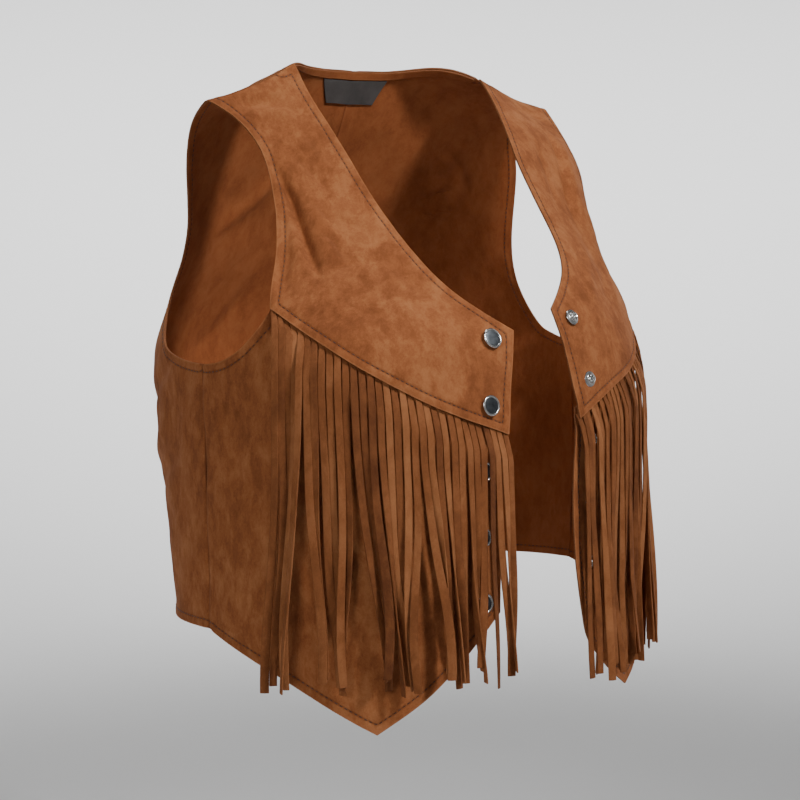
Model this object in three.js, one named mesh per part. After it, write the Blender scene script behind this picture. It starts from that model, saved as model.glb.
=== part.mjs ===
import * as THREE from "three";

// Sizes are in millimetres. The wearer's right is -X, the front is -Y, up is +Z.
// The origin is midway between the neck points, on the level of the shoulder seams.
const CLOTH = 1.2;
const STRIP = 1.0;
const PLY_GAP = 0.3;
const SEAM_HALF_GAP = 0.22;
const NECK_HALF = 90;
const SHOULDER_HALF = 163;
const NECK_SLOPE = 0.33;
const SHOULDER_DIP = 2.5;
const RIDGE_ROUND = 15;
const RIDGE_FADE = 190;
const LAP = 7;
const LAP_RISE = 26;
const YOKE_LIFT = CLOTH + 2 * PLY_GAP + STRIP;
const FACING_TALL = 6;
const FACING_THICK = 1;
const LABEL = { half: 30, narrow: 21, tall: 18, thick: 0.8, below: 1.2 };
const STRANDS = 32;
const STRAND_GAP = 1.2;
const STRAND_ROOT = 1.4;
const SNAP_PITCH = 42;
const SNAP_INSET = 18;
const SNAPS = 5;

// Level rings of the worn form, each set out from the widest line of the ring
const RINGS = [
  { below: 0, centre: 0, front: 168, back: 168,
    deepR: 0.4, deepL: 0.4, deepBack: 0.4, sqR: 8, sqL: 8, sqBack: 8 },
  { below: 7, centre: 0, front: 167, back: 167,
    deepR: 5, deepL: 8, deepBack: 26, sqR: 7, sqL: 8, sqBack: 7.5 },
  { below: 20, centre: 0, front: 165, back: 166,
    deepR: 14, deepL: 24, deepBack: 40, sqR: 5, sqL: 7, sqBack: 7 },
  { below: 35, centre: -1, front: 163, back: 165,
    deepR: 24, deepL: 38, deepBack: 48, sqR: 4, sqL: 7, sqBack: 6 },
  { below: 50, centre: -2, front: 162, back: 164,
    deepR: 33, deepL: 49, deepBack: 56, sqR: 3.2, sqL: 6.5, sqBack: 4.8 },
  { below: 66, centre: -3, front: 162, back: 163,
    deepR: 43, deepL: 59, deepBack: 67, sqR: 2.9, sqL: 5.2, sqBack: 3.7 },
  { below: 90, centre: -5, front: 163, back: 163,
    deepR: 58, deepL: 74, deepBack: 84, sqR: 2.5, sqL: 3.6, sqBack: 2.75 },
  { below: 127, centre: -8, front: 167, back: 166,
    deepR: 85, deepL: 98, deepBack: 107, sqR: 2.4, sqL: 2.8, sqBack: 2.3 },
  { below: 165, centre: -11, front: 174, back: 174,
    deepR: 118, deepL: 122, deepBack: 130, sqR: 2.4, sqL: 2.5, sqBack: 2.35 },
  { below: 182, centre: -13, front: 176, back: 176,
    deepR: 133, deepL: 129, deepBack: 140, sqR: 2.45, sqL: 2.45, sqBack: 2.5 },
  { below: 200, centre: -14, front: 178, back: 178,
    deepR: 137, deepL: 131, deepBack: 146, sqR: 2.5, sqL: 2.5, sqBack: 2.6 },
  { below: 250, centre: -19, front: 179, back: 179,
    deepR: 135, deepL: 128, deepBack: 140, sqR: 2.6, sqL: 2.6, sqBack: 2.6 },
  { below: 320, centre: -20, front: 178, back: 178,
    deepR: 138, deepL: 129, deepBack: 123, sqR: 2.6, sqL: 2.6, sqBack: 2.6 },
  { below: 400, centre: -18, front: 176, back: 176,
    deepR: 144, deepL: 134, deepBack: 107, sqR: 2.6, sqL: 2.6, sqBack: 2.6 },
  { below: 460, centre: -18, front: 176, back: 176,
    deepR: 146, deepL: 136, deepBack: 103, sqR: 2.6, sqL: 2.6, sqBack: 2.6 },
];

// Cut lines of the two fronts: out is the distance from the centre line, turn the
// angle round the ring from the centre front or centre back
const RIGHT = {
  name: "right",
  sign: -1,
  slope: 0.4,
  neckline: [
    { below: 0, out: 90 }, { below: 24, out: 90 }, { below: 47, out: 84 }, { below: 66, out: 80 },
    { below: 83, out: 77 }, { below: 108, out: 72 }, { below: 125, out: 67 }, { below: 153, out: 58 },
    { below: 168, out: 43 }, { below: 181, out: 23 },
  ],
  frontEdge: [
    { below: 181, out: 23 }, { below: 196, out: 28 }, { below: 229, out: 35 },
    { below: 272, out: 40.5 }, { below: 323, out: 45.7 }, { below: 361, out: 48.4 },
  ],
  yokeEdge: [
    { turn: 12, below: 247 }, { turn: 27.7, below: 228.6 }, { turn: 42.2, below: 205 },
    { turn: 57.8, below: 176 }, { turn: 63.1, below: 164 },
  ],
  hem: [
    { turn: 15.5, below: 361 }, { turn: 22.4, below: 381 }, { turn: 32.6, below: 409 },
    { turn: 43.3, below: 430.5 }, { turn: 65.2, below: 397 }, { turn: 90, below: 376 },
  ],
  tipColumn: 10,
  snapTop: 185.5,
  strandEnd: 404,
};
const LEFT = {
  name: "left",
  sign: 1,
  slope: 0.26,
  neckline: [
    { below: 0, out: 90 }, { below: 34, out: 73 }, { below: 58, out: 65 }, { below: 80, out: 62.5 },
    { below: 98, out: 63 }, { below: 120, out: 66 }, { below: 138, out: 64 },
    { below: 154, out: 49 }, { below: 169, out: 24 },
  ],
  frontEdge: [
    { below: 169, out: 24 }, { below: 206, out: 31 }, { below: 243, out: 38 },
    { below: 297, out: 33 }, { below: 338, out: 35 }, { below: 393, out: 44 },
  ],
  yokeEdge: [
    { turn: 12.4, below: 243 }, { turn: 24.9, below: 225 }, { turn: 37, below: 213 },
    { turn: 49, below: 196 }, { turn: 60, below: 164 },
  ],
  hem: [
    { turn: 14, below: 393 }, { turn: 18, below: 407 }, { turn: 24, below: 424 },
    { turn: 31, below: 438 }, { turn: 58, below: 404 }, { turn: 90, below: 376 },
  ],
  tipColumn: 6,
  snapTop: 175,
  strandEnd: 424,
};

// Armhole edges, from the shoulder to the foot of the armhole
const ARMHOLE_FRONT = {
  right: [
    { below: 0, turn: 49.6 }, { below: 10, turn: 45.6 }, { below: 22, turn: 45.4 }, { below: 38, turn: 46.5 },
    { below: 55, turn: 48.2 }, { below: 77, turn: 51.2 }, { below: 99, turn: 54.4 }, { below: 120, turn: 57.2 },
    { below: 142, turn: 60.8 }, { below: 164, turn: 63.1 },
  ],
  left: [
    { below: 0, turn: 49.6 }, { below: 17, turn: 50.2 }, { below: 46, turn: 50.4 }, { below: 72, turn: 50 },
    { below: 97, turn: 50.5 }, { below: 120, turn: 52.5 }, { below: 142, turn: 55.8 }, { below: 164, turn: 60 },
  ],
};
const ARMHOLE_FOOT_FRONT = [
  { turn: 0, below: 164 }, { turn: 0.18, below: 176 }, { turn: 0.38, below: 189 },
  { turn: 0.58, below: 197 }, { turn: 0.78, below: 201 }, { turn: 1, below: 202 },
];
const ARMHOLE_BACK = {
  right: [
    { below: 0, turn: 49.6 }, { below: 10, turn: 46 }, { below: 21, turn: 45.5 }, { below: 40, turn: 47 },
    { below: 65, turn: 50 }, { below: 89, turn: 53 }, { below: 110, turn: 54.5 }, { below: 131, turn: 56 },
    { below: 154, turn: 58 }, { below: 171, turn: 60.5 }, { below: 184, turn: 64 }, { below: 192, turn: 69 },
  ],
  left: [
    { below: 0, turn: 49.6 }, { below: 10, turn: 48 }, { below: 21, turn: 51 }, { below: 40, turn: 58 },
    { below: 65, turn: 64.5 }, { below: 89, turn: 67.5 }, { below: 110, turn: 68.5 }, { below: 131, turn: 69 },
    { below: 154, turn: 70 }, { below: 171, turn: 72 }, { below: 184, turn: 75 }, { below: 192, turn: 78 },
  ],
};
const ARMHOLE_FOOT_BACK = {
  right: [
    { turn: 69, below: 192 }, { turn: 75, below: 197 }, { turn: 80, below: 200 },
    { turn: 85, below: 201.5 }, { turn: 90, below: 202 },
  ],
  left: [
    { turn: 78, below: 192 }, { turn: 81, below: 195.5 }, { turn: 84, below: 198.5 },
    { turn: 87, below: 201 }, { turn: 90, below: 202 },
  ],
};
const BACK_NECKLINE = {
  right: [
    { out: 0, below: 21 }, { out: 22, below: 18 }, { out: 42, below: 12.5 },
    { out: 62, below: 6.5 }, { out: 78, below: 1.8 }, { out: 90, below: 0 },
  ],
  left: [
    { out: 0, below: 21 }, { out: 22, below: 17 }, { out: 42, below: 9.5 },
    { out: 56, below: 3 }, { out: 70, below: 0.8 }, { out: 90, below: 0 },
  ],
};
const BACK_HEM = [
  { turn: 0, below: 381 }, { turn: 60, below: 378 }, { turn: 90, below: 376 },
];

// Largest folds: soft ridges and troughs from one place to another on the form.
// high is how far the crest stands out, wide is the half width of the fold
const FOLDS = [
  { side: "right", face: -1, turnA: 49, belowA: 66, turnB: 55, belowB: 150, high: -2.2, wide: 9 },
  { side: "right", face: -1, turnA: 58, belowA: 118, turnB: 56, belowB: 215, high: -2.6, wide: 8 },
  { side: "right", face: -1, turnA: 20, belowA: 146, turnB: 46, belowB: 118, high: 1.4, wide: 11 },
  { side: "right", face: -1, turnA: 80, belowA: 210, turnB: 62, belowB: 330, high: -2.4, wide: 12 },
  { side: "right", face: -1, turnA: 30, belowA: 260, turnB: 36, belowB: 400, high: 2.2, wide: 14 },
  { side: "left", face: -1, turnA: 44, belowA: 30, turnB: 44, belowB: 135, high: 2.4, wide: 9 },
  { side: "left", face: -1, turnA: 34, belowA: 40, turnB: 40, belowB: 160, high: -2.2, wide: 9 },
  { side: "left", face: -1, turnA: 24, belowA: 262, turnB: 27, belowB: 400, high: -2.2, wide: 13 },
  { side: "left", face: -1, turnA: 70, belowA: 225, turnB: 58, belowB: 360, high: -2.0, wide: 12 },
  { side: "right", face: 1, turnA: 82, belowA: 212, turnB: 58, belowB: 300, high: -2.4, wide: 12 },
  { side: "right", face: 1, turnA: 22, belowA: 120, turnB: 44, belowB: 210, high: -2.0, wide: 13 },
  { side: "right", face: 1, turnA: 30, belowA: 270, turnB: 34, belowB: 370, high: 2.4, wide: 14 },
  { side: "left", face: 1, turnA: 80, belowA: 214, turnB: 54, belowB: 292, high: -2.2, wide: 12 },
  { side: "left", face: 1, turnA: 18, belowA: 128, turnB: 40, belowB: 196, high: -1.8, wide: 12 },
  { side: "left", face: 1, turnA: 26, belowA: 284, turnB: 24, belowB: 374, high: 2.0, wide: 14 },
];
const TURN_MM = 2.7;

const FRONT = -1;
const BACK = 1;
const degrees = Math.PI / 180;
const vector = (x, y, z) => new THREE.Vector3(x, y, z);

function smooth(value) {
  const s = Math.min(1, Math.max(0, value));
  return s * s * (3 - 2 * s);
}

function mix(a, b, s) {
  return a + (b - a) * s;
}

// A smooth line through the rows of a table, with no overshoot
function curve(rows, from, to) {
  const xs = rows.map((row) => row[from]);
  const ys = rows.map((row) => row[to]);
  const last = xs.length - 1;
  const slopes = xs.slice(1).map((x, i) => (ys[i + 1] - ys[i]) / (x - xs[i]));
  const tangents = ys.map((y, i) => {
    if (i === 0) return slopes[0];
    if (i === last) return slopes[last - 1];
    const product = slopes[i - 1] * slopes[i];
    return product <= 0 ? 0 : (2 * product) / (slopes[i - 1] + slopes[i]);
  });
  return (x) => {
    if (x <= xs[0]) return ys[0];
    if (x >= xs[last]) return ys[last];
    let i = 0;
    while (x > xs[i + 1]) i += 1;
    const span = xs[i + 1] - xs[i];
    const s = (x - xs[i]) / span;
    const near = (1 + 2 * s) * (1 - s) * (1 - s) * ys[i] + s * (1 - s) * (1 - s) * span * tangents[i];
    const far = s * s * (3 - 2 * s) * ys[i + 1] + s * s * (s - 1) * span * tangents[i + 1];
    return near + far;
  };
}

const ringColumns = Object.fromEntries(
  Object.keys(RINGS[0]).filter((key) => key !== "below").map((key) => [key, curve(RINGS, "below", key)]),
);

function ring(side, face, below) {
  const hand = side.sign < 0 ? "R" : "L";
  const deep = face === BACK ? "deepBack" : `deep${hand}`;
  const square = face === BACK ? "sqBack" : `sq${hand}`;
  return {
    centre: ringColumns.centre(below),
    half: ringColumns[face === BACK ? "back" : "front"](below),
    deep: ringColumns[deep](below),
    square: ringColumns[square](below),
  };
}

// A point of the form; off is how far outside it
function plainPoint(side, face, turn, below) {
  const level = ring(side, face, below);
  const s = Math.sin(turn * degrees);
  const c = Math.max(0, Math.cos(turn * degrees));
  const reach = Math.pow(Math.pow(s, level.square) + Math.pow(c, level.square), 1 / level.square);
  const out = (level.half * s) / reach;
  const slope = out < NECK_HALF ? NECK_SLOPE : side.slope;
  const alongShoulder = Math.min(1, Math.max(0, (out - NECK_HALF) / (SHOULDER_HALF - NECK_HALF)));
  const dip = SHOULDER_DIP * Math.sin(Math.PI * alongShoulder);
  const ridge = (slope * (NECK_HALF - Math.hypot(out, RIDGE_ROUND)) - dip) * (1 - smooth(below / RIDGE_FADE));
  return vector(side.sign * out, level.centre + (face * level.deep * c) / reach, ridge - below);
}

function turnAt(side, face, out, below) {
  const level = ring(side, face, below);
  const u = Math.min(0.999999, out / level.half);
  return Math.atan(u / Math.pow(1 - Math.pow(u, level.square), 1 / level.square)) / degrees;
}

function outward(side, face, turn, below) {
  const step = 0.4;
  const a = plainPoint(side, face, Math.min(90, turn + step), below);
  const b = plainPoint(side, face, Math.max(0, turn - step), below);
  const c = plainPoint(side, face, turn, below + step);
  const d = plainPoint(side, face, turn, Math.max(0, below - step));
  const normal = a.sub(b).cross(c.sub(d)).normalize();
  return normal.multiplyScalar(side.sign * face);
}

function foldHeight(side, face, turn, below) {
  return FOLDS.filter((fold) => fold.side === side.name && fold.face === face).reduce((sum, fold) => {
    const along = [(fold.turnB - fold.turnA) * TURN_MM, fold.belowB - fold.belowA];
    const here = [(turn - fold.turnA) * TURN_MM, below - fold.belowA];
    const long = Math.hypot(along[0], along[1]);
    const s = (here[0] * along[0] + here[1] * along[1]) / (long * long);
    const away = (here[0] * along[1] - here[1] * along[0]) / long;
    const taper = smooth(s / 0.3) * smooth((1 - s) / 0.3);
    return sum + fold.high * taper * Math.exp(-Math.pow(away / fold.wide, 2));
  }, 0);
}

// A place on a panel: its point on the form with the folds, and the way out
function place(side, face, turn, below, lift = 0) {
  const normal = outward(side, face, turn, below);
  const point = plainPoint(side, face, turn, below);
  point.addScaledVector(normal, foldHeight(side, face, turn, below) + lift);
  return { point, normal };
}

function blend(a, b, s) {
  return { point: a.point.clone().lerp(b.point, s), normal: a.normal.clone().lerp(b.normal, s).normalize() };
}

// A place between the columns and rows of a panel, on its flat facets
function between(rows, column, row) {
  const r = Math.min(rows.length - 2, Math.floor(row));
  const upper = rows[r];
  const lower = rows[r + 1];
  const j = Math.min(upper.length - 2, Math.floor(column));
  const top = blend(upper[j], upper[j + 1], column - j);
  const bottom = blend(lower[j], lower[j + 1], column - j);
  return blend(top, bottom, row - r);
}

function moved(spot, distance) {
  return spot.point.clone().addScaledVector(spot.normal, distance);
}

// Cells of a grid whose lower rows may run on further than its upper ones
function gridCells(rows) {
  const cells = [];
  for (let r = 0; r + 1 < rows.length; r += 1) {
    const count = Math.min(rows[r].length, rows[r + 1].length) - 1;
    for (let j = 0; j < count; j += 1) {
      cells.push([rows[r][j], rows[r][j + 1], rows[r + 1][j + 1], rows[r + 1][j]]);
    }
  }
  return cells;
}

// A closed wall from four-cornered cells whose corners each hold an inner and an outer point
function wallMesh(cells, name, material) {
  const index = new Map();
  const corners = [];
  for (const corner of cells.flat()) {
    if (!index.has(corner)) {
      index.set(corner, corners.length);
      corners.push(corner);
    }
  }
  const count = corners.length;
  const triangles = [];
  const edges = new Map();
  for (const cell of cells) {
    const [a, b, c, d] = cell.map((corner) => index.get(corner));
    const shortFirst = cell[0].outer.distanceTo(cell[2].outer) <= cell[1].outer.distanceTo(cell[3].outer);
    const halves = shortFirst ? [[a, b, c], [a, c, d]] : [[a, b, d], [b, c, d]];
    for (const [p, q, r] of halves) {
      triangles.push([p, q, r], [p + count, r + count, q + count]);
      for (const [from, to] of [[p, q], [q, r], [r, p]]) {
        const back = `${to}_${from}`;
        if (edges.has(back)) edges.delete(back);
        else edges.set(`${from}_${to}`, [from, to]);
      }
    }
  }
  for (const [from, to] of edges.values()) {
    triangles.push([from, from + count, to + count], [from, to + count, to]);
  }
  const points = corners.map((corner) => corner.outer).concat(corners.map((corner) => corner.inner));
  return solid(points, triangles, name, material);
}

// A closed mesh, turned the right way out by the sign of its volume
function solid(points, triangles, name, material) {
  const volume = triangles.reduce((sum, [a, b, c]) => {
    return sum + points[a].dot(points[b].clone().cross(points[c]));
  }, 0);
  const geometry = new THREE.BufferGeometry();
  geometry.setAttribute("position", new THREE.Float32BufferAttribute(points.flatMap((p) => p.toArray()), 3));
  geometry.setIndex(triangles.flatMap(([a, b, c]) => (volume > 0 ? [a, b, c] : [a, c, b])));
  geometry.computeVertexNormals();
  const mesh = new THREE.Mesh(geometry, material);
  mesh.name = name;
  return mesh;
}

// Grid corners of a wall between two distances from the form
function corners(rows, inner, outer) {
  return rows.map((row) => row.map((spot) => ({ inner: moved(spot, inner), outer: moved(spot, outer) })));
}

const COLUMNS = 16;
const FOOT_COLUMNS = 5;
const YOKE_ROWS_ABOVE = 8;
const YOKE_ROWS_EDGE = 3;
const FRONT_ROWS = 9;

function lapLine(side) {
  const edgeTurn = curve(side.yokeEdge, "turn", "below");
  const first = side.yokeEdge[0].turn;
  const last = side.yokeEdge[side.yokeEdge.length - 1].turn;
  return Array.from({ length: COLUMNS + 1 }, (_, j) => {
    const turn = mix(first, last, j / COLUMNS);
    return { turn, below: edgeTurn(turn) };
  });
}

function openingTurn(side, below) {
  const corner = side.frontEdge[0].below;
  const rows = below <= corner ? side.neckline : side.frontEdge;
  return turnAt(side, FRONT, curve(rows, "below", "out")(below), below);
}

// Rows of the yoke from the shoulder seam to its lower edge
function yokeRows(side) {
  const line = lapLine(side);
  const armhole = curve(ARMHOLE_FRONT[side.name], "below", "turn");
  const cornerShare = side.frontEdge[0].below / (line[0].below - LAP);
  const shares = [];
  for (let r = 0; r < YOKE_ROWS_ABOVE; r += 1) shares.push((cornerShare * r) / YOKE_ROWS_ABOVE);
  for (let r = 0; r <= YOKE_ROWS_EDGE; r += 1) shares.push(mix(cornerShare, 1, r / YOKE_ROWS_EDGE));
  const rows = shares.map((share) => {
    const below = line.map((mark) => (mark.below - LAP) * share);
    const inner = openingTurn(side, below[0]);
    const outer = armhole(below[COLUMNS]);
    return line.map((mark, j) => {
      const rise = smooth((below[j] - (mark.below - LAP - LAP_RISE)) / LAP_RISE);
      return place(side, FRONT, mix(inner, outer, j / COLUMNS), below[j], YOKE_LIFT * rise);
    });
  });
  rows.push(line.map((mark) => place(side, FRONT, mark.turn, mark.below, YOKE_LIFT)));
  return rows;
}

function hemMark(side, column) {
  const tip = side.hem[3];
  const all = COLUMNS + FOOT_COLUMNS;
  const last = 90 - SEAM_HALF_GAP / TURN_MM;
  const turn = column <= side.tipColumn
    ? mix(side.hem[0].turn, tip.turn, column / side.tipColumn)
    : mix(tip.turn, last, (column - side.tipColumn) / (all - side.tipColumn));
  const rows = turn <= tip.turn ? side.hem.slice(0, 4) : side.hem.slice(3);
  return { turn, below: curve(rows, "turn", "below")(turn) };
}

// Rows of the lower front from under the yoke to the pointed hem
function frontRows(side) {
  const line = lapLine(side);
  const armhole = curve(ARMHOLE_FRONT[side.name], "below", "turn");
  const inner = openingTurn(side, line[0].below - LAP);
  const outer = armhole(line[COLUMNS].below - LAP);
  const top = line.map((mark, j) => place(side, FRONT, mix(inner, outer, j / COLUMNS), mark.below - LAP));
  const foot = curve(ARMHOLE_FOOT_FRONT, "turn", "below");
  const marks = line.slice();
  for (let k = 1; k <= FOOT_COLUMNS; k += 1) {
    const share = k / FOOT_COLUMNS;
    marks.push({ turn: mix(line[COLUMNS].turn, 90 - SEAM_HALF_GAP / TURN_MM, share), below: foot(share) });
  }
  const rows = [top];
  for (let r = 0; r <= FRONT_ROWS; r += 1) {
    const share = r / FRONT_ROWS;
    rows.push(marks.map((mark, j) => {
      const end = hemMark(side, j);
      const below = mix(mark.below, end.below, share);
      const straight = mix(mark.turn, end.turn, share);
      const edge = openingTurn(side, below);
      const hold = j === 0 ? 1 : 0;
      return place(side, FRONT, mix(straight, edge, hold), below);
    }));
  }
  return rows;
}

const NECK_COLUMNS = 6;
const SHOULDER_COLUMNS = 5;
const BACK_UPPER_ROWS = 8;
const BACK_LOWER_ROWS = 7;
const BACK_FOOT_COLUMNS = 4;
const BACK_LEVEL = 208;

// Rows of a back from the neckline and shoulder seam to the hem
function backRows(side) {
  const armhole = curve(ARMHOLE_BACK[side.name], "below", "turn");
  const neck = curve(BACK_NECKLINE[side.name], "out", "below");
  const seamTurn = turnAt(side, BACK, SEAM_HALF_GAP, BACK_LEVEL);
  const neckTurn = turnAt(side, BACK, NECK_HALF, 0);
  const endTurn = armhole(0);
  const count = NECK_COLUMNS + SHOULDER_COLUMNS;
  const corner = ARMHOLE_BACK[side.name][ARMHOLE_BACK[side.name].length - 1];
  const shares = Array.from({ length: count + 1 }, (_, j) => {
    const onNeck = mix(0, neckTurn / endTurn, j / NECK_COLUMNS);
    const onShoulder = mix(neckTurn / endTurn, 1, (j - NECK_COLUMNS) / SHOULDER_COLUMNS);
    return j <= NECK_COLUMNS ? onNeck : onShoulder;
  });
  const tops = shares.map((share, j) => {
    if (j >= NECK_COLUMNS) return 0;
    let below = 0;
    for (let pass = 0; pass < 12; pass += 1) {
      below = neck(Math.abs(plainPoint(side, BACK, share * endTurn, below).x));
    }
    return below;
  });
  const rows = [];
  for (let r = 0; r <= BACK_UPPER_ROWS; r += 1) {
    const down = Math.pow(r / BACK_UPPER_ROWS, 1.35);
    const outerBelow = mix(0, corner.below, down);
    rows.push(shares.map((share, j) => {
      const level = mix(BACK_LEVEL, corner.below, share);
      const below = mix(tops[j], level, down);
      const seam = turnAt(side, BACK, SEAM_HALF_GAP, below);
      return place(side, BACK, mix(seam, armhole(outerBelow), share), below);
    }));
  }
  const foot = curve(ARMHOLE_FOOT_BACK[side.name], "turn", "below");
  const hem = curve(BACK_HEM, "turn", "below");
  const marks = shares.map((share) => ({
    turn: mix(seamTurn, corner.turn, share),
    below: mix(BACK_LEVEL, corner.below, share),
  }));
  const last = 90 - SEAM_HALF_GAP / TURN_MM;
  for (let k = 1; k <= BACK_FOOT_COLUMNS; k += 1) {
    const turn = mix(corner.turn, last, k / BACK_FOOT_COLUMNS);
    marks.push({ turn, below: foot(turn) });
  }
  rows.pop();
  for (let r = 0; r <= BACK_LOWER_ROWS; r += 1) {
    const share = r / BACK_LOWER_ROWS;
    rows.push(marks.map((mark, j) => {
      const end = mix(seamTurn, last, j / (marks.length - 1));
      const even = mix(mark.turn, mix(mark.turn, end, 0.6), share);
      const turn = j === marks.length - 1 ? last : even;
      return place(side, BACK, turn, mix(mark.below, hem(turn), share));
    }));
  }
  return rows;
}

const suede = new THREE.MeshStandardMaterial({ color: 0x8a512c, roughness: 0.95, metalness: 0 });
const suedeStrip = new THREE.MeshStandardMaterial({ color: 0x7d4726, roughness: 0.95, metalness: 0 });
const satin = new THREE.MeshStandardMaterial({ color: 0x4a4745, roughness: 0.7, metalness: 0 });
const steel = new THREE.MeshStandardMaterial({ color: 0xb9b9b6, roughness: 0.3, metalness: 1 });
const darkSteel = new THREE.MeshStandardMaterial({ color: 0x5a5a5c, roughness: 0.25, metalness: 1 });

const vest = new THREE.Group();
vest.name = "fringe_vest";
const panels = {};
for (const side of [RIGHT, LEFT]) {
  panels[side.name] = { yoke: yokeRows(side), front: frontRows(side), back: backRows(side) };
  const made = panels[side.name];
  for (const piece of ["yoke", "front", "back"]) {
    vest.add(wallMesh(gridCells(corners(made[piece], 0, CLOTH)), `${piece}_${side.name}`, suede));
  }
}

// Back-neck facing, taken from the top row of both backs
function acrossBack(columns, rowAt) {
  const right = columns.slice().reverse().map((column) => between(panels.right.back, column, rowAt(column)));
  const left = columns.map((column) => between(panels.left.back, column, rowAt(column)));
  return right.concat(left);
}

function rowBelow(column, distance) {
  const rows = panels.right.back;
  const from = between(rows, column, 0).point;
  let row = 0;
  while (between(rows, column, row).point.distanceTo(from) < distance) row += 0.01;
  return row;
}

const facingColumns = Array.from({ length: NECK_COLUMNS + 1 }, (_, j) => Math.min(j, NECK_COLUMNS - 0.15));
const facingRows = [
  acrossBack(facingColumns, () => 0.02),
  acrossBack(facingColumns, (column) => rowBelow(column, FACING_TALL)),
];
vest.add(wallMesh(gridCells(corners(facingRows, -PLY_GAP - FACING_THICK, -PLY_GAP)), "neck_facing", suede));

// Woven label under the facing, narrower at its foot
function labelRow(half, distance) {
  const rows = panels.right.back;
  let end = 0.5;
  while (Math.abs(between(rows, end, rowBelow(end, distance)).point.x) < half) end += 0.01;
  const columns = Array.from({ length: 4 }, (_, k) => (end * k) / 3);
  return acrossBack(columns, (column) => rowBelow(column, distance));
}

const labelTop = FACING_TALL + LABEL.below;
const labelRows = [0, 0.5, 1].map((share) => {
  return labelRow(mix(LABEL.half, LABEL.narrow, share), labelTop + LABEL.tall * share);
});
vest.add(wallMesh(gridCells(corners(labelRows, -PLY_GAP - LABEL.thick, -PLY_GAP)), "neck_label", satin));

// Fringe: a narrow strip on the lower front with its strands cut from the same piece.
// Each row of the table is a manner of hanging; the strands take them in turn
const HANGS = [
  { sway: 0.6, twist: 6, short: 3, stand: 1.6 },
  { sway: -0.5, twist: -14, short: 9, stand: 2.2 },
  { sway: 0.3, twist: 26, short: 0, stand: 3.2 },
  { sway: -0.7, twist: -4, short: 6, stand: 1.8 },
  { sway: 0.5, twist: 34, short: 2, stand: 3.6 },
  { sway: 0.1, twist: -22, short: 12, stand: 2.6 },
  { sway: -0.4, twist: 10, short: 5, stand: 1.7 },
];
const STRAND_STATIONS = [0.035, 0.1, 0.22, 0.45, 0.72, 1];
const STRAND_CLEAR = 0.5;
const CLEAR_OF_SNAPS = 2.6;
const SETTLE = 16;

function fringeCells(side) {
  const rows = panels[side.name].front;
  const heightsOfRows = [LAP - 1, 0, -STRAND_ROOT];
  const lines = heightsOfRows.map((up) => ({ row: up > 0 ? 1 - up / LAP : 1, drop: Math.max(0, -up) }));
  const firstGap = rows[1].map((spot, j) => spot.point.distanceTo(rows[2][j].point));
  const spotAt = (column, line) => {
    const gap = firstGap[Math.min(COLUMNS, Math.round(column))];
    return between(rows, column, line.drop > 0 ? 1 + line.drop / gap : line.row);
  };
  const reach = Array.from({ length: COLUMNS * 8 + 1 },
    (_, k) => between(rows, Math.min(k / 8, COLUMNS - 1e-6), 1).point);
  const lengths = [0];
  for (let k = 1; k < reach.length; k += 1) lengths.push(lengths[k - 1] + reach[k].distanceTo(reach[k - 1]));
  const total = lengths[lengths.length - 1];
  const columnAt = (distance) => {
    let k = 0;
    while (k + 2 < lengths.length && lengths[k + 1] < distance) k += 1;
    const column = (k + (distance - lengths[k]) / (lengths[k + 1] - lengths[k])) / 8;
    return Math.min(COLUMNS - 1e-3, Math.max(1e-3, column));
  };
  const pitch = (total + STRAND_GAP) / STRANDS;
  const inner = CLOTH + PLY_GAP;
  const corner = (column, line) => {
    const spot = spotAt(column, line);
    return { inner: moved(spot, inner), outer: moved(spot, inner + STRIP) };
  };
  const marks = [];
  for (let i = 0; i < STRANDS; i += 1) {
    marks.push(columnAt(i * pitch), columnAt(i * pitch + pitch - STRAND_GAP));
  }
  const strip = lines.map((line) => marks.map((column) => corner(column, line)));
  const cells = gridCells(strip.slice(0, 2));
  for (let i = 0; i < STRANDS; i += 1) {
    const tip = strip[2];
    cells.push([strip[1][2 * i], strip[1][2 * i + 1], tip[2 * i + 1], tip[2 * i]]);
    const column = (marks[2 * i] + marks[2 * i + 1]) / 2;
    const turn = mix(side.yokeEdge[0].turn, side.yokeEdge[4].turn, column / COLUMNS);
    cells.push(...strandCells(side, i, turn, tip[2 * i], tip[2 * i + 1]));
  }
  return cells;
}

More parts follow.
